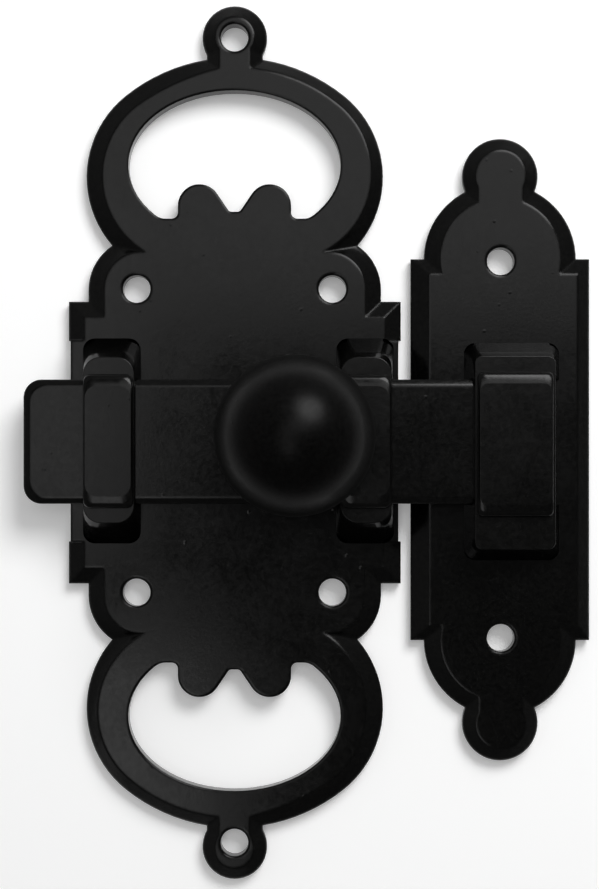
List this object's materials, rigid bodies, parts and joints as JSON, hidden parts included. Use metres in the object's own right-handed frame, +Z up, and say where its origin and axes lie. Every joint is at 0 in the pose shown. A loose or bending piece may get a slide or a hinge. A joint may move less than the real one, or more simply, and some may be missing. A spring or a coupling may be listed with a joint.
{
  "type": "toggle bolt latch",
  "caption": "Ornamental surface slide bolt for a door: a pierced plate with two guides, a flat bar with a ball knob, and a separate keep plate whose staple takes the bar.",
  "frame": {"origin": "middle of the main plate's four corner screw holes, on the plate's back face where it meets the door", "axes": "+Z up along both plates, +X from the main plate towards the keep, and the front with the knob faces -Y"},
  "size_m": [0.0984, 0.0387, 0.153],
  "materials": {
    "black_casting": "satin black paint over malleable iron castings",
    "screw_steel": "blackened steel",
    "spring_steel": "bare spring steel"
  },
  "bodies": {
    "fixed_plates": {"backplate": "black_casting", "guide_left": "black_casting", "guide_right": "black_casting", "keep_plate": "black_casting", "keep_staple": "black_casting", "bolt_spring": "spring_steel", "guide_left_screw_upper": "screw_steel", "guide_left_screw_lower": "screw_steel", "guide_right_screw_upper": "screw_steel", "guide_right_screw_lower": "screw_steel", "keep_staple_screw_upper": "screw_steel", "keep_staple_screw_lower": "screw_steel"},
    "bolt": {"bolt_bar": "black_casting", "knob": "black_casting", "knob_screw": "screw_steel"}
  },
  "joints": [
    {"name": "bolt_slide", "type": "slide", "parent": "fixed_plates", "child": "bolt", "axis": [1, 0, 0], "range_m": [-0.01974, 0]}
  ]
}
